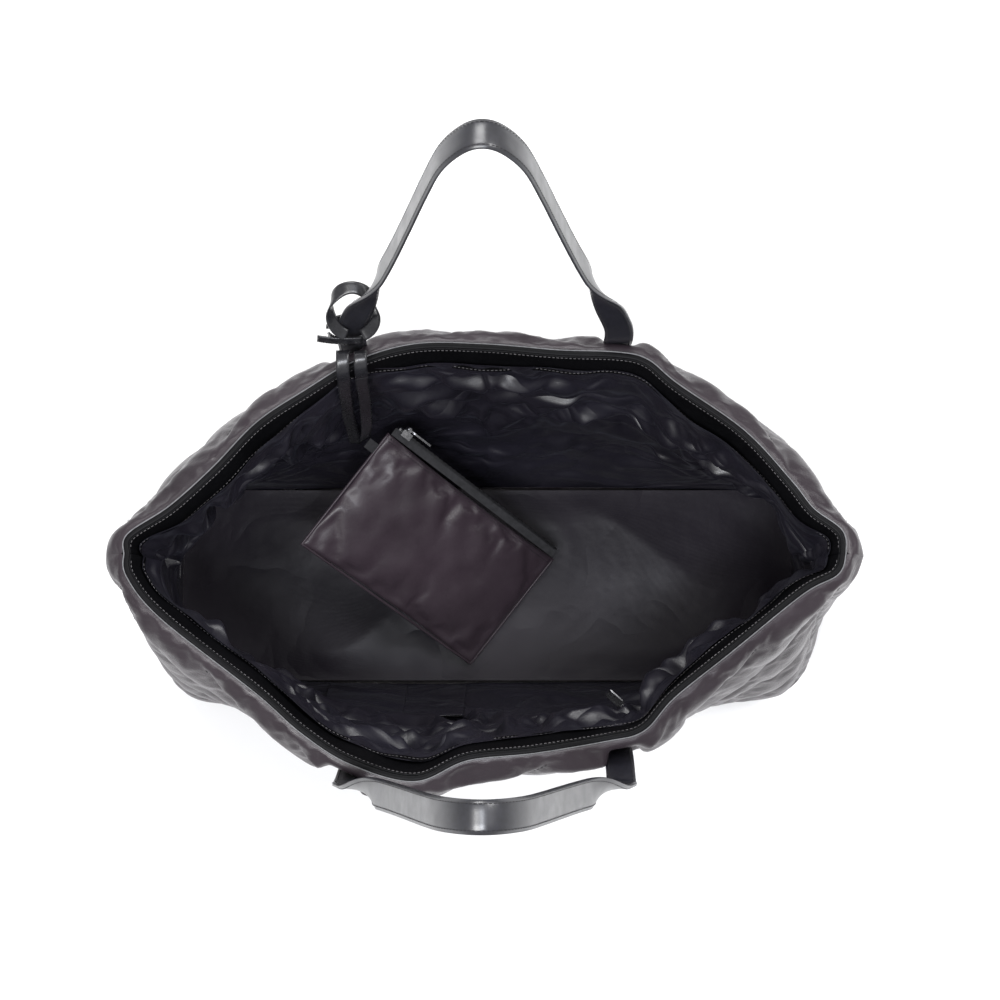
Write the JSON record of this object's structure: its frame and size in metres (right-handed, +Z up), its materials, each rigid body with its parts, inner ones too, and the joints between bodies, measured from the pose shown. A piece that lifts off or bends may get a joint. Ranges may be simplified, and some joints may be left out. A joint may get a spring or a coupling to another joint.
{
  "type": "quilted tote bag",
  "caption": "Large quilted tote bag standing open, with two shoulder straps, a smooth facing band, inner pockets and a padded zip pouch on a strip.",
  "frame": {"origin": "centre of the base's underside", "axes": "+X along the bag's length, +Y from its front wall to its back wall, +Z up out of the mouth"},
  "size_m": [0.6319, 0.5026, 0.6654],
  "materials": {
    "shell": "glossy quilted nylon",
    "faux_leather": "smooth, semi-matt",
    "lining": "satin",
    "wadding": "soft matt",
    "board": "matt",
    "zip_tape": "matt",
    "zip_teeth": "semi-gloss",
    "zip_metal": "polished"
  },
  "bodies": {
    "bag": {"outer_front": "shell", "outer_back": "shell", "outer_base": "shell", "wadding_front": "wadding", "wadding_back": "wadding", "wadding_base": "wadding", "base_board": "board", "lining_front": "lining", "lining_back": "lining", "lining_base": "lining", "facing_front": "faux_leather", "facing_back": "faux_leather", "front_handle_ends": "faux_leather", "back_handle_ends": "faux_leather", "slip_pockets": "lining", "zip_pocket_bag": "lining", "pocket_zip_tape": "zip_tape", "pocket_zip_teeth": "zip_teeth", "pocket_zip_stops": "zip_metal", "tether_strap": "faux_leather", "tether_tail": "faux_leather"},
    "front_handle": {"front_handle": "faux_leather"},
    "back_handle": {"back_handle": "faux_leather", "tether_loop": "faux_leather", "tether_wrap": "faux_leather"},
    "pocket_slider": {"pocket_zip_slider": "zip_metal"},
    "pocket_pull": {"pocket_zip_pull": "zip_metal"},
    "pouch": {"pouch_front": "shell", "pouch_back": "shell", "pouch_wadding_front": "wadding", "pouch_wadding_back": "wadding", "pouch_lining": "lining", "pouch_zip_tape": "zip_tape", "pouch_zip_teeth": "zip_teeth", "pouch_zip_stops": "zip_metal", "pouch_tether_tab": "faux_leather"},
    "pouch_slider": {"pouch_zip_slider": "zip_metal"},
    "pouch_pull": {"pouch_zip_pull": "zip_metal"}
  },
  "joints": [
    {"name": "front_handle_swing", "type": "hinge", "parent": "bag", "child": "front_handle", "pos_m": [0, -0.191, 0.346], "axis": [1, 0, 0], "range_deg": [-90, 120], "deforming": ["front_handle_ends"]},
    {"name": "back_handle_swing", "type": "hinge", "parent": "bag", "child": "back_handle", "pos_m": [0, 0.178, 0.346], "axis": [-1, 0, 0], "range_deg": [-85, 100], "deforming": ["back_handle_ends", "tether_strap", "tether_tail"]},
    {"name": "pocket_zip_slide", "type": "slide", "parent": "bag", "child": "pocket_slider", "axis": [-0.9903, -0.1392, 0], "range_m": [0, 0.1], "deforming": ["pocket_zip_teeth"]},
    {"name": "pocket_pull_swing", "type": "hinge", "parent": "pocket_slider", "child": "pocket_pull", "pos_m": [0.12268, -0.12741, 0.23284], "axis": [-0.0194, 0.1378, -0.9903], "range_deg": [-45, 115]},
    {"name": "pouch_lift", "type": "slide", "parent": "bag", "child": "pouch", "axis": [0, 0, 1], "range_m": [0, 0.35], "deforming": ["tether_strap"]},
    {"name": "pouch_zip_slide", "type": "slide", "parent": "pouch", "child": "pouch_slider", "axis": [0.6873, -0.4636, -0.5592], "range_m": [0, 0.195]},
    {"name": "pouch_pull_swing", "type": "hinge", "parent": "pouch_slider", "child": "pouch_pull", "pos_m": [-0.07148, 0.13189, 0.15192], "axis": [0.3813, -0.425, 0.821], "range_deg": [0, 50]}
  ]
}
